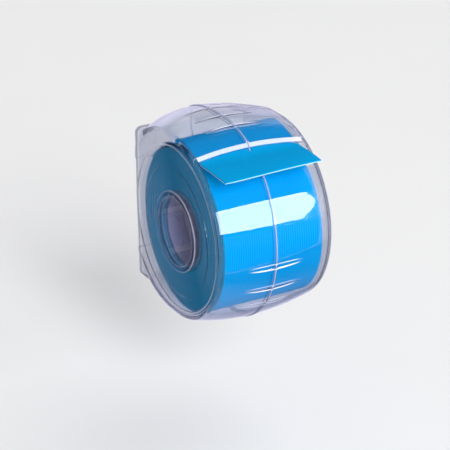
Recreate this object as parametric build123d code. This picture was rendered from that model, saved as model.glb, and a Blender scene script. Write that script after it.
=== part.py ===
"""Clear two-part wall dispenser with a roll of 50 mm ribbed fabric tape.

Frame: millimetres, +Z up, origin at the centre of the rail seat on the flat back.
+X runs along the roll's axis, to the right seen from the front; the front is -Y.
Both case halves are cut from one pair of lofted solids, an outer and an inner one.
"""

from build123d import *

import math
import os

# ---- the roll ----
TAPE_WIDTH = 50.0
ROLL_RADIUS = 38.8
CORE_RADIUS = 18.6
CORE_BORE_RADIUS = 16.5
TAPE_THICKNESS = 0.5
LINER_THICKNESS = 0.15

# ---- where the roll sits ----
WALL = 1.1
ROLL_GAP = 0.3
AXIS_Y = -(ROLL_RADIUS + ROLL_GAP + WALL)

# ---- the drum of the case: a slot-shaped section that changes along X ----
# Every offset below is measured from the roll's axis.
MID_RADIUS = 47.7
MID_FRONT = 41.0
MID_CENTRE_Z = -0.2
MID_FLAT = 12.8
SHOULDER_X = 27.4
SHOULDER_RADIUS = 43.9
SHOULDER_FRONT = 40.5
SHOULDER_CENTRE_Z = 1.2
SHOULDER_FLAT = 6.9
DISC_X = 29.2
DISC_RADIUS = 39.5
DISC_FRONT = 38.9
DISC_CENTRE_Z = 1.0
DISC_FLAT = 0.3
CROWN_STATIONS = (-9.0, 0.0, 9.0, 18.0, SHOULDER_X)
SHOULDER_ANGLES = (0.0, 30.0, 60.0, 90.0)

# ---- the rectangular rear block ----
BLOCK_HALF_WIDTH = 28.6
BLOCK_HALF_HEIGHT = 37.7
BLOCK_DEPTH = 27.0
BLOCK_CORNER = 3.0
BACK_RIB = 0.7
SEAT_HALF_HEIGHT = 22.5

# ---- the tape slot: a wedge through the wall, offsets (y, z) from the roll's axis ----
SLOT_HALF_WIDTH = 26.6
LIP_POINT = (-14.2, 43.6)
LIP_DIRECTION = (-0.59, -0.81)
LIP_CUT_OUT = 10.0
LIP_CUT_IN = 8.5
FRONT_EDGE_POINT = (-29.6, 31.3)
FRONT_EDGE_DIRECTION = (0.857, -0.515)
FRONT_CUT = 6.0

# ---- finger flutes: (degrees up from the front, share of the flat run) ----
FLUTES = ((-39.2, 0.0), (-24.8, 0.0), (-10.2, 0.0), (78.0, 0.0), (90.0, 0.17), (92.0, 1.0))
FLUTE_RADIUS = 1.9
FLUTE_DEPTH = 0.5
FLUTE_HALF_LENGTH = 15.5

# ---- the seam between the halves ----
BEAD_WIDTH = 0.6
BEAD_HEIGHT = 0.35
TONGUE_LENGTH = 1.2
TONGUE_THICKNESS = 0.45
TONGUE_CLEARANCE = 0.05
TONGUE_ROOT_LAP = 0.3
TONGUE_BACK_LIMIT = 24.0

# ---- the side walls ----
HUB_FLANGE_RADIUS = 19.0
HUB_FLANGE_THICKNESS = 0.6
HUB_PLUG_RADIUS = 16.9
HUB_PLUG_CLEARANCE = 0.02
FINGER_RADIUS = 16.45
FINGER_THICKNESS = 1.25
FINGER_TIP_X = 17.0
FINGER_COUNT = 5
FINGER_SLOT_WIDTH = 4.0
FINGER_SLOT_DEPTH = 4.5
FIRST_FINGER_SLOT = 16.0
DISH_RADIUS = 8.0
DISH_DEPTH = 0.5
RING_RADIUS = 30.4
RING_WIDTH = 0.8
RING_DEPTH = 0.25
STUD_OFFSET = 26.3
STUD_RADIUS = 2.7
STUD_HEIGHT = 0.3

# ---- the free end of the tape: lower edge of the liner, offsets from the roll's axis ----
# It leaves the roll behind the top, arches up under the hood and dips below the lip.
TAIL_DEPARTURE = 35.0
TAIL_CREST = (2.5, 41.2)
TAIL_LIP = (-15.0, 37.5)
TAIL_END = (-40.5, 35.8)
TAIL_END_DROOP = 0.1

FAR = 120.0


def side_plane(x):
    """A plane across the roll's axis at x: local x is +Y, local y is +Z, from the axis."""
    return Plane(origin=(x, AXIS_Y, 0), x_dir=(0, 1, 0), z_dir=(1, 0, 0))


def drum_shape(x):
    """Radius, front reach, centre height and flat run of the drum's section at x."""
    middle = (MID_RADIUS, MID_FRONT, MID_CENTRE_Z, MID_FLAT)
    shoulder = (SHOULDER_RADIUS, SHOULDER_FRONT, SHOULDER_CENTRE_Z, SHOULDER_FLAT)
    share = (x / SHOULDER_X) ** 2
    return tuple(a + (b - a) * share for a, b in zip(middle, shoulder))


def shoulder_shape(angle):
    """The section on the quarter-round shoulder, from the crown (0) to the disc (90)."""
    shoulder = (SHOULDER_RADIUS, SHOULDER_FRONT, SHOULDER_CENTRE_Z, SHOULDER_FLAT)
    disc = (DISC_RADIUS, DISC_FRONT, DISC_CENTRE_Z, DISC_FLAT)
    share = 1 - math.cos(math.radians(angle))
    return tuple(a + (b - a) * share for a, b in zip(shoulder, disc))


def section(x, shape, inset):
    """A slot-shaped face at x, drawn in by inset."""
    radius, front, centre_z, flat = shape
    middle_y = radius - front + flat / 2
    slot = SlotCenterToCenter(flat, 2 * (radius - inset))
    return side_plane(x) * Pos(middle_y, centre_z) * slot


def rear_block(inset, back):
    """The block behind the drum, with rounded long edges, up to y = back."""
    width = 2 * (BLOCK_HALF_WIDTH - inset)
    height = 2 * (BLOCK_HALF_HEIGHT - inset)
    outline = RectangleRounded(width, height, BLOCK_CORNER - inset)
    plane = Plane(origin=(0, back - BLOCK_DEPTH, 0), x_dir=(-1, 0, 0), z_dir=(0, 1, 0))
    return extrude(plane * outline, amount=BLOCK_DEPTH)


def envelope(inset, back):
    """The right half (x > 0) of the case's outer or inner solid, flat at y = back."""
    shrink = (DISC_X - inset) / DISC_X
    crown = [section(x * shrink, drum_shape(x), inset) for x in CROWN_STATIONS]
    shoulder = []
    for angle in SHOULDER_ANGLES:
        x = SHOULDER_X + (DISC_X - SHOULDER_X) * math.sin(math.radians(angle))
        shoulder.append(section(x * shrink, shoulder_shape(angle), inset))
    solid = loft(crown) + loft(shoulder) + rear_block(inset, back)
    keep = Pos(FAR / 2, back - FAR / 2, 0) * Box(FAR, FAR, 2 * FAR)
    return solid & keep


def slot_wedge():
    """The prism that opens the tape slot between the upper lip and the front wall."""
    (lip_y, lip_z), (run_y, run_z) = LIP_POINT, LIP_DIRECTION
    above = (lip_y - LIP_CUT_OUT * run_y, lip_z - LIP_CUT_OUT * run_z)
    below = (lip_y + LIP_CUT_IN * run_y, lip_z + LIP_CUT_IN * run_z)
    edge_y, edge_z = FRONT_EDGE_POINT
    run_y, run_z = FRONT_EDGE_DIRECTION
    inner = (edge_y + FRONT_CUT * run_y, edge_z + FRONT_CUT * run_z)
    outer = (edge_y - FRONT_CUT * run_y, edge_z - FRONT_CUT * run_z)
    outline = Polyline(above, below, inner, outer, (outer[0], above[1]), close=True)
    face = side_plane(-SLOT_HALF_WIDTH) * make_face(outline)
    return extrude(face, amount=2 * SLOT_HALF_WIDTH)


def flute(angle, flat_share):
    """A shallow finger groove: a tube on a gentle arc that leaves the crown at its ends."""

    def skin(x, lift):
        radius, front, centre_z, flat = drum_shape(x)
        turn = math.radians(angle)
        y = radius - front + flat_share * flat - (radius + lift) * math.cos(turn)
        return Vector(x, AXIS_Y + y, centre_z + (radius + lift) * math.sin(turn))

    start = skin(-FLUTE_HALF_LENGTH, FLUTE_RADIUS)
    middle = skin(0, FLUTE_RADIUS - FLUTE_DEPTH)
    end = skin(FLUTE_HALF_LENGTH, FLUTE_RADIUS)
    path = ThreePointArc(start, middle, end)
    profile = Plane(origin=path @ 0, z_dir=path % 0) * Circle(FLUTE_RADIUS)
    return sweep(profile, path=path)


def seam_ring(outer_inset, inner_inset, x_start, x_end):
    """A flat ring that follows the middle section, between two insets."""
    shape = drum_shape(0)
    outer = extrude(section(x_start, shape, outer_inset), amount=x_end - x_start)
    inner = extrude(section(x_start, shape, inner_inset), amount=x_end - x_start)
    return outer - inner


def side_cylinder(radius, x_start, x_end, y=0.0):
    """A cylinder along X, its axis at offset y from the roll's axis."""
    face = side_plane(x_start) * Pos(y, 0) * Circle(radius)
    return extrude(face, amount=x_end - x_start)


def case_half():
    """The right half: shell, seam bead, flutes, slot, rail seat, hub hole and marks."""
    outer = envelope(0.0, BACK_RIB)
    inner = envelope(WALL, -WALL)
    bead = seam_ring(-BEAD_HEIGHT, WALL / 2, 0, BEAD_WIDTH)
    front_of_back = Pos(0, -WALL / 2 - FAR / 2, 0) * Box(FAR, FAR, 2 * FAR)
    half = outer
    for angle, flat_share in FLUTES:
        half -= flute(angle, flat_share)
    half += bead & front_of_back
    half += side_cylinder(STUD_RADIUS, DISC_X - WALL / 2, DISC_X + STUD_HEIGHT, STUD_OFFSET)
    half -= inner
    half -= slot_wedge()
    half -= Pos(0, FAR / 2, 0) * Box(FAR, FAR, 2 * SEAT_HALF_HEIGHT)
    half -= side_cylinder(HUB_PLUG_RADIUS + HUB_PLUG_CLEARANCE, DISC_X - 2 * WALL, DISC_X + WALL)
    ring = side_cylinder(RING_RADIUS + RING_WIDTH / 2, DISC_X - RING_DEPTH, DISC_X + WALL)
    ring -= side_cylinder(RING_RADIUS - RING_WIDTH / 2, DISC_X - RING_DEPTH, DISC_X + WALL)
    return half - ring


def seam_tongue():
    """The left half's tongue, which slips inside the right half along the seam."""
    root = seam_ring(WALL - TONGUE_ROOT_LAP, WALL + TONGUE_THICKNESS, -TONGUE_LENGTH, 0)
    gap = WALL + TONGUE_CLEARANCE
    tip = seam_ring(gap, gap + TONGUE_THICKNESS, 0, TONGUE_LENGTH)
    limit = AXIS_Y + TONGUE_BACK_LIMIT
    forward = Pos(0, limit - FAR / 2, 0) * Box(FAR, FAR, 2 * FAR)
    return ((root + tip) & forward) - slot_wedge()


def hub():
    """The right hub: a flanged plug in the side wall with five fingers in the core."""
    inner_face = DISC_X - WALL
    outer_face = DISC_X + HUB_FLANGE_THICKNESS
    solid = side_cylinder(HUB_FLANGE_RADIUS, DISC_X, outer_face)
    solid += side_cylinder(HUB_PLUG_RADIUS, inner_face, DISC_X)
    fingers = side_cylinder(FINGER_RADIUS, FINGER_TIP_X, inner_face)
    fingers -= side_cylinder(FINGER_RADIUS - FINGER_THICKNESS, FINGER_TIP_X, inner_face)
    slot_length = inner_face - FINGER_TIP_X
    for index in range(FINGER_COUNT):
        angle = FIRST_FINGER_SLOT + index * 360.0 / FINGER_COUNT
        slot = Pos(FINGER_RADIUS, 0) * Rectangle(FINGER_SLOT_DEPTH, FINGER_SLOT_WIDTH)
        fingers -= extrude(side_plane(FINGER_TIP_X) * Rot(0, 0, angle) * slot, amount=slot_length)
    solid += fingers
    return solid - side_cylinder(DISH_RADIUS, outer_face - DISH_DEPTH, outer_face + WALL)


def tube(outer_radius, inner_radius):
    """A tube along the roll's axis, one tape width long."""
    half = TAPE_WIDTH / 2
    return side_cylinder(outer_radius, -half, half) - side_cylinder(inner_radius, -half, half)


def tail_sheet(lower, upper):
    """The strip between two lifts above the liner's lower edge, one tape width wide."""

    turn = math.radians(TAIL_DEPARTURE)

    def edge(lift):
        radius = ROLL_RADIUS + ROLL_GAP + lift
        start = (radius * math.sin(turn), radius * math.cos(turn))
        raised = [(y, z + lift) for y, z in (TAIL_CREST, TAIL_LIP, TAIL_END)]
        tangents = [(-math.cos(turn), math.sin(turn)), (-1, -TAIL_END_DROOP)]
        return Spline(start, *raised, tangents=tangents)

    bottom = edge(lower)
    top = edge(upper)
    outline = Wire([bottom, Line(bottom @ 1, top @ 1), top, Line(top @ 0, bottom @ 0)])
    face = side_plane(-TAPE_WIDTH / 2) * make_face(outline)
    return extrude(face, amount=TAPE_WIDTH)


def build_parts():
    """Every node by name."""
    right = case_half()
    hub_right = hub()
    return {
        "case_right_half": right,
        "case_left_half": mirror(right, Plane.YZ) + seam_tongue(),
        "hub_right": hub_right,
        "hub_left": mirror(hub_right, Plane.YZ),
        "tape_core": tube(CORE_RADIUS, CORE_BORE_RADIUS),
        "tape_roll": tube(ROLL_RADIUS, CORE_RADIUS),
        "tail_liner": tail_sheet(0.0, LINER_THICKNESS),
        "tape_tail": tail_sheet(LINER_THICKNESS, LINER_THICKNESS + TAPE_THICKNESS),
    }


os.makedirs("parts", exist_ok=True)
for name, shape in build_parts().items():
    export_step(shape, f"parts/{name}.step")
    print(name, len(shape.solids()), "solid", round(shape.volume), "mm3")
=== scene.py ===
"""Looks for the clear drum dispenser with its roll of ribbed blue fabric tape. Metres, +Z up, front -Y."""

import math

import bpy
from mathutils import Matrix, Vector
from mathutils.bvhtree import BVHTree


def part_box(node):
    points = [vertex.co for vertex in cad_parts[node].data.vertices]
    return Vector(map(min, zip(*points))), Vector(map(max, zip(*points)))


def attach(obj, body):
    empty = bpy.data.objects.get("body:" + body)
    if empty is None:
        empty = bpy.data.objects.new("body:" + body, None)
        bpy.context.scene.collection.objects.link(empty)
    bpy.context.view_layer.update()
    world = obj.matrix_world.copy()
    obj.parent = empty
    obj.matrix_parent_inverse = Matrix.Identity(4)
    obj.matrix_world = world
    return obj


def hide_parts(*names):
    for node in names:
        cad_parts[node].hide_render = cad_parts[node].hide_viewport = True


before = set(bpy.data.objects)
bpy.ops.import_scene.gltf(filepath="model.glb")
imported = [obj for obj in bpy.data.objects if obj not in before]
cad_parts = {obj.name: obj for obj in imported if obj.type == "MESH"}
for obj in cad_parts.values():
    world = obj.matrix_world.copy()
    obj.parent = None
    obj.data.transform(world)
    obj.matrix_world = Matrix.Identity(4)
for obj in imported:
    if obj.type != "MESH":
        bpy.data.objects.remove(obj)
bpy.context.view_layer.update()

MM = 0.001
UP = Vector((0, 0, 1))

# ---- places read from the frame ----
ROLL_LOW, ROLL_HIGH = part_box("tape_roll")
CORE_LOW, CORE_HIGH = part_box("tape_core")
LINER_LOW, LINER_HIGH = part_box("tail_liner")
AXIS = (ROLL_LOW + ROLL_HIGH) / 2
ROLL_RADIUS = (ROLL_HIGH.z - ROLL_LOW.z) / 2
CORE_RADIUS = (CORE_HIGH.z - CORE_LOW.z) / 2
HALF_WIDTH = (ROLL_HIGH.x - ROLL_LOW.x) / 2

# ---- the case's crown, in mm from the axis: middle, and how much it changes out to the shoulder ----
CROWN_RADIUS = (47.7, -3.8)
CROWN_FRONT = (41.0, -0.5)
CROWN_CENTRE_Z = (-0.2, 1.4)
CROWN_FLAT = (12.8, -5.9)
SHOULDER_X = 27.4

# ---- the lip's cut face: its slope in Y and Z, and the plane's level (mm from the axis) ----
LIP_CUT = (-0.5888, -0.8083, -37.15)
LIP_DEPTH = 0.85
LIP_MIN_Z = 34.0
LIP_NEAR = 0.06
SEAM_HALF_WIDTH = 0.34

# ---- flutes: (degrees up from the front, share of the flat run, share of painted highlight on their edges) ----
FLUTES = (
    (-39.2, 0.0, 0.7), (-24.8, 0.0, 0.75), (-10.2, 0.0, 0.75),
    (78.0, 0.0, 0.7), (90.0, 0.17, 0.5), (92.0, 1.0, 0.45),
)
FLUTE_HALF_LENGTH = 15.5
FLUTE_HALF_WIDTH = 1.285
FLUTE_FADE = (8.0, 14.5)
FLUTE_SKIN = 0.45

# ---- the round edges of the side walls: centre Y and Z, radius ----
DISC_RIM = (0.75, 1.0, 39.35)
HUB_RIM = (0.0, 0.0, 18.85)
HUB_RING = (0.0, 0.0, 16.3)
DISC_MIN_X = 28.9
HUB_MIN_X = 28.0

# ---- painted highlights on the plastic's edges: (half width of the line in mm, share) ----
FLUTE_LINE = 0.34
SEAM_LINE = (0.36, 0.3)
DISC_LINE = (0.4, 0.4)
HUB_RIM_LINE = (0.3, 0.32)
HUB_RING_LINE = (0.3, 0.3)
LIP_PAINTED_HIGHLIGHT = 0.55

# ---- the clear plastic ----
PLASTIC_IOR = 1.46
PALE_TINT = (0.955, 0.965, 1.0, 1)
DEEP_TINT = (0.935, 0.945, 0.99, 1)
CASE_PLAIN_SHARE = 0.2
HUB_PLAIN_SHARE = 0.7

# ---- the surroundings' strength: on matt surfaces, as seen, and in reflections ----
AMBIENT = 0.4
SEEN = 0.8
BEYOND = 1.25
BENEATH = 0.7
TABLE_EDGE = 0.25
DARK_ROOM = 0.07

# ---- the tape ----
FABRIC_THICKNESS = 0.5 * MM
LINER_THICKNESS = 0.12 * MM
EDGE_ROUND = 0.12 * MM
RIB_PITCH = 1.15
THREAD_PITCH = 0.46

# ---- the wound roll ----
TURNS = 31
SECTIONS_PER_TURN = 120
TELESCOPE = 0.07 * MM

# ---- the free end ----
LAP_ON_ROLL = math.radians(14)
LAP_CLEARANCE = 0.06 * MM
SLANT_OF_CUT = 3.1 * MM
LINER_SHOWS = 0.3 * MM
TAIL_ROWS = 96
TAIL_COLUMNS = 40
LAP_STEPS = 12
ROUTE_SAMPLES = 240
ROLL_CLEARANCE = 0.3 * MM
LINER_OVERHANG = 0.1 * MM

# ---- the stage ----
FLOOR_LEVEL = -0.105
FLOOR_HALF_SIZE = 3.0

# ---- the camera: degrees, metres and millimetres of lens ----
CAMERA_ANGLES = (28.27, 22.46, -0.88)
CAMERA_DISTANCE = 0.9429
CAMERA_LENS = 164.1
CAMERA_SHIFT = (-0.0168, -0.0133)


# =====================================================================================
# Materials
# =====================================================================================
class Shader:
    """The node tree of a new material or world, built one node at a time."""

    def __init__(self, owner):
        self.owner = owner
        owner.use_nodes = True
        self.tree = owner.node_tree
        self.tree.nodes.clear()

    def add(self, kind, inputs=None, **settings):
        node = self.tree.nodes.new(kind)
        for key, value in settings.items():
            setattr(node, key, value)
        for key, value in (inputs or {}).items():
            self.feed(node.inputs[key], value)
        return node

    def feed(self, socket, value):
        if isinstance(value, bpy.types.NodeSocket):
            self.tree.links.new(value, socket)
        else:
            socket.default_value = value

    def math(self, operation, *values):
        node = self.add("ShaderNodeMath", operation=operation)
        for socket, value in zip(node.inputs, values):
            self.feed(socket, value)
        return node.outputs[0]

    def mix_colour(self, share, first, second):
        node = self.add("ShaderNodeMix", data_type="RGBA")
        self.feed(node.inputs[0], share)
        self.feed(node.inputs[6], first)
        self.feed(node.inputs[7], second)
        return node.outputs[2]

    def mix_shader(self, share, first, second):
        return self.add("ShaderNodeMixShader", {0: share, 1: first, 2: second}).outputs[0]

    def noise(self, vector, scale, detail=3.0):
        node = self.add("ShaderNodeTexNoise", {"Vector": vector, "Scale": scale, "Detail": detail})
        return node.outputs["Fac"]

    def wave(self, value, pitch):
        """0 to 1 and back along value, once each pitch."""
        turn = self.math("MULTIPLY", value, math.tau / pitch)
        return self.math("MULTIPLY_ADD", self.math("COSINE", turn), 0.5, 0.5)

    def smooth_step(self, value, low, high):
        node = self.add("ShaderNodeMapRange", interpolation_type="SMOOTHSTEP")
        self.feed(node.inputs["Value"], value)
        self.feed(node.inputs["From Min"], low)
        self.feed(node.inputs["From Max"], high)
        return node.outputs["Result"]

    def place(self):
        """Millimetres from the middle of the roll's axis: the vector and its x, y and z."""
        here = self.add("ShaderNodeTexCoord").outputs["Object"]
        shifted = self.add("ShaderNodeVectorMath", {0: here, 1: tuple(AXIS)}, operation="SUBTRACT")
        scaled = self.add("ShaderNodeVectorMath", {0: shifted.outputs[0]}, operation="SCALE")
        scaled.inputs["Scale"].default_value = 1 / MM
        split = self.add("ShaderNodeSeparateXYZ", {"Vector": scaled.outputs[0]})
        return scaled.outputs[0], split.outputs["X"], split.outputs["Y"], split.outputs["Z"]

    def band(self, value, half_width):
        """1 where value is 0, falling to 0 at half_width on either side."""
        off = self.math("ABSOLUTE", value)
        return self.math("SUBTRACT", 1.0, self.smooth_step(off, 0.45 * half_width, half_width))

    def product(self, *shares):
        result = shares[0]
        for share in shares[1:]:
            result = self.math("MULTIPLY", result, share)
        return result

    def ring(self, y, z, rim, half_width):
        """1 on a circle about an axis along X."""
        centre_y, centre_z, radius = rim
        out = self.radius(self.math("SUBTRACT", y, centre_y), self.math("SUBTRACT", z, centre_z))
        return self.band(self.math("SUBTRACT", out, radius), half_width)

    def radius(self, y, z):
        squares = self.math("ADD", self.math("MULTIPLY", y, y), self.math("MULTIPLY", z, z))
        return self.math("SQRT", squares)

    def finish(self, surface, kind="ShaderNodeOutputMaterial"):
        output = self.add(kind)
        self.feed(output.inputs["Surface"], surface)
        return self.owner


def material_shader(name):
    return Shader(bpy.data.materials.new(name))


def fabric_material(name, around_roll):
    """Blue cotton tape: ribs along its length, crossed by fine threads."""
    s = material_shader(name)
    place, x, y, z = s.place()
    along = y
    if around_roll:
        along = s.math("MULTIPLY", s.math("ARCTAN2", z, y), ROLL_RADIUS / MM)
    wander = s.math("MULTIPLY", s.noise(place, 0.35, 2.0), 0.3)
    ribs = s.wave(s.math("ADD", x, wander), RIB_PITCH)
    threads = s.wave(along, THREAD_PITCH)
    weave = s.math("ADD", s.math("MULTIPLY", ribs, 0.65), s.math("MULTIPLY", threads, 0.35))
    fuzz = s.noise(place, 3.2, 4.0)
    cloud = s.noise(place, 0.06, 2.0)
    tone = s.math("ADD", s.math("MULTIPLY", weave, 0.6), s.math("MULTIPLY", fuzz, 0.4))
    colour = s.mix_colour(tone, (0.0, 0.14, 0.36, 1), (0.0, 0.36, 0.71, 1))
    colour = s.mix_colour(s.math("MULTIPLY", cloud, 0.2), colour, (0.0, 0.36, 0.74, 1))
    height = s.math("ADD", weave, s.math("MULTIPLY", fuzz, 0.5))
    bump = s.add("ShaderNodeBump", {"Height": height, "Strength": 0.8, "Distance": 0.00014})
    skin = s.add("ShaderNodeBsdfPrincipled", {
        "Base Color": colour,
        "Roughness": s.math("MULTIPLY_ADD", fuzz, 0.2, 0.68),
        "Normal": bump.outputs[0],
        "Specular IOR Level": 0.03,
        "Sheen Weight": 0.04,
        "Sheen Roughness": 0.4,
        "Sheen Tint": (0.05, 0.6, 1.0, 1),
    })
    return s.finish(skin.outputs[0])


def roll_side_material():
    """The cut edges of all the turns: dark teal with dust rings and a few paler turns."""
    s = material_shader("tape_edges")
    place, _, y, z = s.place()
    radius = s.radius(y, z)
    grain = s.noise(place, 2.4, 4.0)
    rings = s.noise(s.add("ShaderNodeCombineXYZ", {"X": radius}).outputs[0], 0.8, 3.0)
    patches = s.noise(place, 0.05, 2.0)
    tone = s.math("ADD", s.math("MULTIPLY", grain, 0.35), s.math("MULTIPLY", rings, 0.65))
    colour = s.mix_colour(tone, (0.001, 0.165, 0.33, 1), (0.003, 0.38, 0.64, 1))
    colour = s.mix_colour(s.math("MULTIPLY", patches, 0.35), colour, (0.004, 0.36, 0.54, 1))
    bump = s.add("ShaderNodeBump", {"Height": grain, "Strength": 0.4, "Distance": 0.0001})
    skin = s.add("ShaderNodeBsdfPrincipled", {
        "Base Color": colour,
        "Roughness": s.math("MULTIPLY_ADD", grain, 0.2, 0.6),
        "Normal": bump.outputs[0],
        "Specular IOR Level": 0.1,
    })
    return s.finish(skin.outputs[0])


def liner_material():
    """White release paper with faint fibres."""
    s = material_shader("release_paper")
    place = s.place()[0]
    fibre = s.noise(place, 1.4, 5.0)
    colour = s.mix_colour(fibre, (0.50, 0.66, 0.78, 1), (0.70, 0.84, 0.92, 1))
    bump = s.add("ShaderNodeBump", {"Height": fibre, "Strength": 0.2, "Distance": 0.00005})
    skin = s.add("ShaderNodeBsdfPrincipled", {
        "Base Color": colour,
        "Roughness": s.math("MULTIPLY_ADD", fibre, 0.15, 0.45),
        "Normal": bump.outputs[0],
    })
    return s.finish(skin.outputs[0])


def board_material():
    """The core: mauve-grey board inside, with a blue outer ply and blue ends."""
    s = material_shader("spiral_board")
    place, x, y, z = s.place()
    ply = s.smooth_step(s.radius(y, z), 16.6, 16.9)
    fibre = s.noise(place, 0.9, 5.0)
    spiral = s.math("ADD", s.math("MULTIPLY", x, 0.35), s.math("ARCTAN2", z, y))
    joint = s.smooth_step(s.math("SINE", spiral), 0.97, 1.0)
    grey = s.mix_colour(fibre, (0.34, 0.33, 0.42, 1), (0.48, 0.46, 0.56, 1))
    grey = s.mix_colour(s.math("MULTIPLY", joint, 0.4), grey, (0.12, 0.10, 0.16, 1))
    blue = s.mix_colour(fibre, (0.02, 0.14, 0.24, 1), (0.05, 0.22, 0.34, 1))
    bump = s.add("ShaderNodeBump", {"Height": fibre, "Strength": 0.3, "Distance": 0.0001})
    skin = s.add("ShaderNodeBsdfPrincipled", {
        "Base Color": s.mix_colour(ply, grey, blue),
        "Roughness": s.math("MULTIPLY_ADD", fibre, 0.2, 0.6),
        "Normal": bump.outputs[0],
    })
    return s.finish(skin.outputs[0])


def crown(s, x):
    """The case's section at x: its radius, front reach, centre height and flat run."""
    square = s.math("POWER", s.math("DIVIDE", x, SHOULDER_X), 2.0)
    parts = (CROWN_RADIUS, CROWN_FRONT, CROWN_CENTRE_Z, CROWN_FLAT)
    return [s.math("MULTIPLY_ADD", square, change, middle) for middle, change in parts]


def flute_edges(s, x, y, z):
    """Painted highlight on the two long edges of every flute, on the case's outer skin: each flute's
    share, fading towards the ends.
    """
    radius, front, centre_z, flat = crown(s, x)
    share = s.math("POWER", s.math("DIVIDE", x, FLUTE_HALF_LENGTH), 2.0)
    left = s.math("MAXIMUM", s.math("SUBTRACT", 1.0, share), 0.0)
    half_width = s.math("MULTIPLY", s.math("SQRT", left), FLUTE_HALF_WIDTH)
    fade = s.math("SUBTRACT", 1.0, s.smooth_step(s.math("ABSOLUTE", x), *FLUTE_FADE))
    edges = 0.0
    for degrees, run, highlight_share in FLUTES:
        sine, cosine = math.sin(math.radians(degrees)), math.cos(math.radians(degrees))
        centre_y = s.math("ADD", s.math("SUBTRACT", radius, front), s.math("MULTIPLY", flat, run))
        from_y = s.math("SUBTRACT", y, centre_y)
        from_z = s.math("SUBTRACT", z, centre_z)
        around = s.math("MULTIPLY_ADD", from_y, sine, s.math("MULTIPLY", from_z, cosine))
        out = s.math("MULTIPLY_ADD", from_y, -cosine, s.math("MULTIPLY", from_z, sine))
        off = s.math("SUBTRACT", s.math("ABSOLUTE", around), half_width)
        skin = s.math("GREATER_THAN", out, s.math("SUBTRACT", radius, FLUTE_SKIN))
        edges = s.math("MAXIMUM", edges, s.product(s.band(off, FLUTE_LINE), skin, highlight_share))
    return s.product(edges, fade)


def lip_face(s, x, y, z):
    """1 on the outer part of the lip's cut face, but not across the seam."""
    radius, front, centre_z, _ = crown(s, x)
    run_y, run_z, level = LIP_CUT
    across = s.math("ADD", s.math("MULTIPLY", y, -run_z), s.math("MULTIPLY", z, run_y))
    on_cut = s.math("LESS_THAN", s.math("ABSOLUTE", s.math("SUBTRACT", across, level)), LIP_NEAR)
    from_y = s.math("SUBTRACT", y, s.math("SUBTRACT", radius, front))
    out = s.radius(from_y, s.math("SUBTRACT", z, centre_z))
    outer = s.math("GREATER_THAN", out, s.math("SUBTRACT", radius, LIP_DEPTH))
    beside_seam = s.math("GREATER_THAN", s.math("ABSOLUTE", x), SEAM_HALF_WIDTH)
    return s.product(on_cut, outer, beside_seam, s.math("GREATER_THAN", z, LIP_MIN_Z))


def case_painted_highlights(s, x, y, z):
    """How much painted highlight the case's edges get: lip, flutes, seam and the side walls' rims."""
    on_disc = s.math("GREATER_THAN", s.math("ABSOLUTE", x), DISC_MIN_X)
    rim = s.product(s.ring(y, z, DISC_RIM, DISC_LINE[0]), on_disc, DISC_LINE[1])
    seam = s.product(s.band(x, SEAM_LINE[0]), SEAM_LINE[1])
    # painted highlight on the lip's cut face
    lip = s.product(lip_face(s, x, y, z), LIP_PAINTED_HIGHLIGHT)
    upper = s.math("MAXIMUM", lip, flute_edges(s, x, y, z))
    return s.math("MAXIMUM", upper, s.math("MAXIMUM", rim, seam))


def hub_painted_highlights(s, x, y, z):
    """How much painted highlight the hub's flange and its ring of fingers get."""
    rim = s.product(s.ring(y, z, HUB_RIM, HUB_RIM_LINE[0]), HUB_RIM_LINE[1])
    ring = s.product(s.ring(y, z, HUB_RING, HUB_RING_LINE[0]), HUB_RING_LINE[1])
    on_flange = s.math("GREATER_THAN", s.math("ABSOLUTE", x), HUB_MIN_X)
    return s.product(s.math("MAXIMUM", rim, ring), on_flange)


def clear_material(name, plain_share, painted_highlights):
    """Clear plastic with a faint mauve tint; lamps shine through it unbent, and pale colour painted on its
    edges stands in for highlights.
    """
    s = material_shader(name)
    place, x, y, z = s.place()
    haze = s.noise(place, 0.12, 2.0)
    # noise for the scuffed roughness, which also mottles the painted highlights
    scuff_and_highlight_mottle = s.noise(place, 1.5, 4.0)
    tint = s.mix_colour(haze, DEEP_TINT, PALE_TINT)
    glass = s.add("ShaderNodeBsdfGlass", {
        "Color": tint,
        "Roughness": s.math("MULTIPLY", scuff_and_highlight_mottle, 0.012),
        "IOR": PLASTIC_IOR,
    })
    through = s.add("ShaderNodeBsdfTransparent", {"Color": tint})
    rays = s.add("ShaderNodeLightPath")
    unbent = s.math("MAXIMUM", rays.outputs["Is Shadow Ray"], rays.outputs["Is Diffuse Ray"])
    share = s.math("MAXIMUM", unbent, plain_share)
    surface = s.mix_shader(share, glass.outputs[0], through.outputs[0])
    outside = s.math("SUBTRACT", 1.0, s.add("ShaderNodeNewGeometry").outputs["Backfacing"])
    broken = s.math("MULTIPLY_ADD", scuff_and_highlight_mottle, 0.3, 0.85)
    # painted highlights: a pale diffuse colour mixed onto the edges for camera and reflected rays
    cover = s.product(painted_highlights(s, x, y, z), outside, broken, s.math("SUBTRACT", 1.0, unbent))
    highlight_colour = s.mix_colour(scuff_and_highlight_mottle, (0.66, 0.65, 0.78, 1), (0.76, 0.75, 0.86, 1))
    painted_highlight = s.add("ShaderNodeBsdfDiffuse", {"Color": highlight_colour})
    return s.finish(s.mix_shader(cover, surface, painted_highlight.outputs[0]))


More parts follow.
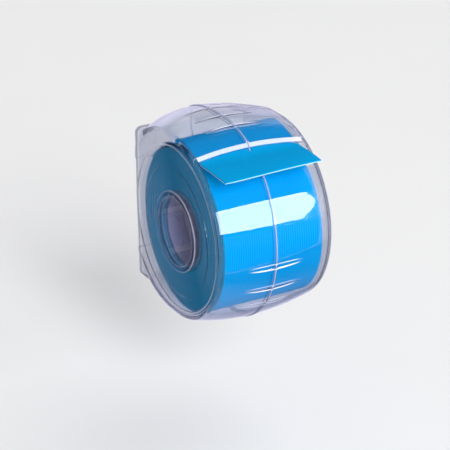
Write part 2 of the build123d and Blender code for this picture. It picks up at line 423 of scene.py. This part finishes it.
def floor_material():
    """A pale floor that the plastic shows behind it but doesn't reflect."""
    s = material_shader("pale_floor")
    place = s.place()[0]
    mottle = s.noise(place, 0.01, 2.0)
    skin = s.add("ShaderNodeBsdfPrincipled", {
        "Base Color": s.mix_colour(mottle, (0.735, 0.735, 0.735, 1), (0.755, 0.755, 0.755, 1)),
        "Roughness": 0.9,
        "Specular IOR Level": 0.1,
    })
    dark = s.add("ShaderNodeBsdfDiffuse", {"Color": (0.0, 0.0, 0.0, 1)})
    reflected = s.math("MINIMUM", s.add("ShaderNodeLightPath").outputs["Glossy Depth"], 1.0)
    return s.finish(s.mix_shader(reflected, skin.outputs[0], dark.outputs[0]))


# =====================================================================================
# Meshes
# =====================================================================================
def new_object(name, points, faces, materials, face_slots=None, sharp=35):
    mesh = bpy.data.meshes.new(name)
    mesh.from_pydata(points, [], faces)
    for material in materials:
        mesh.materials.append(material)
    if face_slots:
        mesh.polygons.foreach_set("material_index", face_slots)
    mesh.validate()
    mesh.shade_smooth()
    mesh.set_sharp_from_angle(angle=math.radians(sharp))
    obj = bpy.data.objects.new(name, mesh)
    bpy.context.scene.collection.objects.link(obj)
    return obj


def strip_faces(rings, size, first):
    """Quads between rings of size points each, with both ends closed."""
    faces = []
    for ring in range(rings - 1):
        here = first + ring * size
        there = here + size
        for k in range(size):
            following = (k + 1) % size
            faces.append((here + k, here + following, there + following, there + k))
    faces.append(tuple(first + k for k in reversed(range(size))))
    last = first + (rings - 1) * size
    faces.append(tuple(last + k for k in range(size)))
    return faces


def tail_departure():
    """The angle of the tail's back end round the roll's axis, from +Y towards +Z."""
    high = LINER_HIGH.y - AXIS.y
    reach = math.sqrt(max(0.0, (ROLL_RADIUS + ROLL_CLEARANCE) ** 2 - high ** 2))
    return math.atan2(reach, high)


def windings(fabric, liner, edges):
    """The wound tape: fabric and its liner as two strips that follow one spiral."""
    pitch = (ROLL_RADIUS - CORE_RADIUS) / TURNS
    rings = TURNS * SECTIONS_PER_TURN + 1
    thick, bevel = FABRIC_THICKNESS, EDGE_ROUND
    fabric_profile = (
        (1, bevel - thick, 0), (1, -bevel, 0), (1, 0, bevel), (-1, 0, bevel),
        (-1, -bevel, 0), (-1, bevel - thick, 0), (-1, -thick, bevel), (1, -thick, bevel),
    )
    liner_profile = (
        (1, -thick - LINER_THICKNESS, 0), (1, -thick, 0),
        (-1, -thick, 0), (-1, -thick - LINER_THICKNESS, 0),
    )
    face, paper, edge = 0, 1, 2
    fabric_slots = (edge, edge, face, edge, edge, edge, face, edge)
    liner_slots = (edge, paper, edge, paper)
    points, faces, slots = [], [], []
    last_angle = tail_departure()
    for profile, sides in ((fabric_profile, fabric_slots), (liner_profile, liner_slots)):
        first = len(points)
        for ring in range(rings):
            turn = ring / SECTIONS_PER_TURN
            angle = last_angle + math.tau * (turn - TURNS)
            radius = CORE_RADIUS + pitch * (1 + turn * (TURNS - 1) / TURNS)
            shift = TELESCOPE * math.sin(2.1 * turn) * math.sin(0.37 * turn + 1.0)
            for side, drop, inset in profile:
                r = radius + drop
                x = side * (HALF_WIDTH - 2 * TELESCOPE - inset) + shift
                points.append((x, AXIS.y + r * math.cos(angle), AXIS.z + r * math.sin(angle)))
        faces += strip_faces(rings, len(profile), first)
        slots += list(sides) * (rings - 1) + [edge, edge]
    return new_object("tape_windings", points, faces, (fabric, liner, edges), slots)


def tail_route():
    """The liner's underside along the middle, as evenly spaced points, and its length."""
    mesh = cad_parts["tail_liner"].data
    tree = BVHTree.FromPolygons([v.co for v in mesh.vertices], [p.vertices for p in mesh.polygons])
    start = tail_departure()
    line = []
    lap = ROLL_RADIUS + LAP_CLEARANCE
    for step in range(LAP_STEPS):
        angle = start - LAP_ON_ROLL * (1 - step / LAP_STEPS)
        line.append(Vector((0, AXIS.y + lap * math.cos(angle), AXIS.z + lap * math.sin(angle))))
    back, front = LINER_HIGH.y - 2.5 * MM, LINER_LOW.y + 0.02 * MM
    for step in range(ROUTE_SAMPLES + 1):
        y = back + (front - back) * step / ROUTE_SAMPLES
        line.append(tree.ray_cast(Vector((0, y, ROLL_LOW.z)), UP)[0])
    lengths = [0.0]
    for a, b in zip(line, line[1:]):
        lengths.append(lengths[-1] + (b - a).length)
    route = []
    at = 0
    for row in range(TAIL_ROWS + 1):
        wanted = lengths[-1] * row / TAIL_ROWS
        while at < len(line) - 2 and lengths[at + 1] < wanted:
            at += 1
        share = (wanted - lengths[at]) / (lengths[at + 1] - lengths[at])
        route.append(line[at].lerp(line[at + 1], share))
    for _ in range(3):
        inner = [(a + 2 * b + c) / 4 for a, b, c in zip(route, route[1:], route[2:])]
        route = [route[0]] + inner + [route[-1]]
    return route, lengths[-1]


def tail_lift(u, v):
    """How far the sheet leaves its plain route: it bulges more on the right, and waves a little."""
    bulge = math.sin(math.pi * min(v / 0.62, 1.0)) ** 2
    free = max(0.0, (v - 0.72) / 0.28)
    lift = bulge * (0.35 + 0.85 * u) * MM
    lift += free * (0.25 * math.sin(2.2 * u + 0.6) - 0.35 * free * u) * MM
    return lift


def tail_strip(name, material, route, length, layer, overhang):
    """One sheet of the free end; layer is its lowest and highest height above the route."""
    span = TAIL_COLUMNS + 1
    points, faces = [], []
    for height in layer:
        for row in range(TAIL_ROWS + 1):
            for column in range(span):
                u = 2 * column / TAIL_COLUMNS - 1
                cut = (SLANT_OF_CUT * (1 + u) / 2 - overhang) / length
                v = row / TAIL_ROWS * (1 - max(cut, 0.0))
                at = min(v * TAIL_ROWS, TAIL_ROWS - 0.001)
                index = int(at)
                a, b = route[index], route[index + 1]
                normal = (b - a).normalized().cross(Vector((1, 0, 0)))
                point = a.lerp(b, at - index) + normal * (height + tail_lift(u, v))
                point.x = u * (HALF_WIDTH + (LINER_OVERHANG if overhang else 0.0))
                points.append(tuple(point))
    size = span * (TAIL_ROWS + 1)
    for row in range(TAIL_ROWS):
        for column in range(TAIL_COLUMNS):
            a = row * span + column
            faces.append((a, a + 1, a + 1 + span, a + span))
            faces.append((size + a, size + a + span, size + a + 1 + span, size + a + 1))
    for column in range(TAIL_COLUMNS):
        for start, turn in ((0, 1), (TAIL_ROWS * span, -1)):
            a = start + column
            ends = (a, a + size, a + 1 + size, a + 1)
            faces.append(ends[::turn])
    for row in range(TAIL_ROWS):
        for start, turn in ((0, 1), (TAIL_COLUMNS, -1)):
            a = row * span + start
            sides = (a, a + span, a + span + size, a + size)
            faces.append(sides[::turn])
    return new_object(name, points, faces, (material,))


# =====================================================================================
# Camera, lights and stage
# =====================================================================================
def camera():
    azimuth, elevation, roll = (math.radians(a) for a in CAMERA_ANGLES)
    forward = Vector((
        math.sin(azimuth) * math.cos(elevation),
        math.cos(azimuth) * math.cos(elevation),
        -math.sin(elevation),
    ))
    level = Vector((math.cos(azimuth), -math.sin(azimuth), 0))
    upright = level.cross(forward)
    right = level * math.cos(roll) + upright * math.sin(roll)
    up = upright * math.cos(roll) - level * math.sin(roll)
    turn = Matrix((right, up, -forward)).transposed().to_4x4()
    data = bpy.data.cameras.new("camera")
    data.sensor_width = 36
    data.lens = CAMERA_LENS
    data.shift_x, data.shift_y = CAMERA_SHIFT
    data.clip_end = 20
    obj = bpy.data.objects.new("camera", data)
    obj.matrix_world = Matrix.Translation(AXIS - forward * CAMERA_DISTANCE) @ turn
    bpy.context.scene.collection.objects.link(obj)
    bpy.context.scene.camera = obj


def link_light(name, kind, direction, distance, power):
    direction = Vector(direction).normalized()
    data = bpy.data.lights.new(name, kind)
    data.energy = power
    obj = bpy.data.objects.new(name, data)
    obj.location = AXIS + direction * distance
    obj.rotation_euler = direction.to_track_quat("Z", "Y").to_euler()
    bpy.context.scene.collection.objects.link(obj)
    return obj


def softbox(name, direction, distance, width, height, power, tilt=0):
    """A rectangular light that looks at the roll's axis and shows in the plastic; tilt is in degrees."""
    obj = link_light(name, "AREA", direction, distance, power)
    turn = obj.rotation_euler.to_matrix() @ Matrix.Rotation(math.radians(tilt), 3, "Z")
    obj.rotation_euler = turn.to_euler()
    data = obj.data
    data.shape = "RECTANGLE"
    data.size = width
    data.size_y = height


def fill(name, direction, spread, power):
    """Soft light from afar that the plastic doesn't reflect."""
    obj = link_light(name, "SUN", direction, 1.0, power)
    obj.data.angle = math.radians(spread)
    obj.visible_glossy = False
    obj.visible_transmission = False


def stage():
    """A pale floor under the object."""
    corners = ((-1, -1), (1, -1), (1, 1), (-1, 1))
    points = [(x * FLOOR_HALF_SIZE, y * FLOOR_HALF_SIZE, FLOOR_LEVEL) for x, y in corners]
    floor = new_object("floor", points, [(0, 1, 2, 3)], (floor_material(),))
    floor.visible_glossy = False


def surroundings():
    """Even pale light; in reflections a pale sweep beyond and beneath, a dark room in front."""
    s = Shader(bpy.data.worlds.new("studio"))
    direction = s.add("ShaderNodeTexCoord").outputs["Generated"]
    split = s.add("ShaderNodeSeparateXYZ", {"Vector": direction})
    x, y, z = split.outputs["X"], split.outputs["Y"], split.outputs["Z"]
    onward = s.math("MULTIPLY", s.smooth_step(x, -0.05, 0.3), s.smooth_step(y, 0.25, 0.6))
    beyond = s.math("MULTIPLY", onward, s.smooth_step(z, 0.5, 0.15))
    beneath = s.smooth_step(z, -0.75, -0.95)
    table_edge = s.math("MULTIPLY", s.smooth_step(z, 0.0, -0.02), s.smooth_step(z, -0.35, -0.02))
    glow = s.math("MAXIMUM", s.math("MULTIPLY", beyond, BEYOND), s.math("MULTIPLY", beneath, BENEATH))
    glow = s.math("MAXIMUM", glow, s.math("MULTIPLY_ADD", table_edge, TABLE_EDGE, DARK_ROOM))
    rays = s.add("ShaderNodeLightPath")
    reflected = s.math("MINIMUM", rays.outputs["Glossy Depth"], 1.0)
    colour = s.mix_colour(reflected, (0.94, 0.94, 0.96, 1), (0.84, 0.80, 1.0, 1))
    seen = s.math("MULTIPLY_ADD", rays.outputs["Is Diffuse Ray"], AMBIENT - SEEN, SEEN)
    plain = s.math("MULTIPLY", seen, s.math("SUBTRACT", 1.0, reflected))
    strength = s.math("ADD", plain, s.math("MULTIPLY", glow, reflected))
    back = s.add("ShaderNodeBackground", {"Color": colour, "Strength": strength})
    bpy.context.scene.world = s.finish(back.outputs[0], "ShaderNodeOutputWorld")


def dress(node, material):
    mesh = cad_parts[node].data
    mesh.materials.clear()
    mesh.materials.append(material)


# =====================================================================================
# The scene
# =====================================================================================
scene = bpy.context.scene
scene.view_settings.view_transform = "Standard"
scene.cycles.transparent_max_bounces = 32
scene.cycles.transmission_bounces = 24
scene.cycles.max_bounces = 24
camera()
stage()
surroundings()
fill("front", (-0.10, -0.86, 0.46), 24, 2.8)
fill("level", (0.05, -1.0, 0.04), 20, 0.65)
fill("top", (0.55, -0.1, 1.0), 50, 0.8)
softbox("window", (0.4065, -0.8737, 0.267), 1.5, 0.305, 0.66, 11.5, tilt=-8)
softbox("rear", (0.44, 0.72, 0.54), 1.4, 0.6, 0.35, 0.45)

clear_case = clear_material("clear_case", CASE_PLAIN_SHARE, case_painted_highlights)
clear_hub = clear_material("clear_hub", HUB_PLAIN_SHARE, hub_painted_highlights)
paper = liner_material()
for side in ("left", "right"):
    dress(f"case_{side}_half", clear_case)
    dress(f"hub_{side}", clear_hub)
dress("tape_core", board_material())

roll = windings(fabric_material("tape_fabric_roll", True), paper, roll_side_material())
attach(roll, "roll")
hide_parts("tape_roll")

route, route_length = tail_route()
paper_layer = (0.0, LINER_THICKNESS)
fabric_layer = (LINER_THICKNESS, LINER_THICKNESS + FABRIC_THICKNESS)
tail_liner = tail_strip("tail_liner_sheet", paper, route, route_length, paper_layer, LINER_SHOWS)
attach(tail_liner, "case_left")
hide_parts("tail_liner")

tail_fabric = fabric_material("tape_fabric_tail", False)
tail = tail_strip("tape_tail_sheet", tail_fabric, route, route_length, fabric_layer, 0.0)
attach(tail, "case_left")
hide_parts("tape_tail")
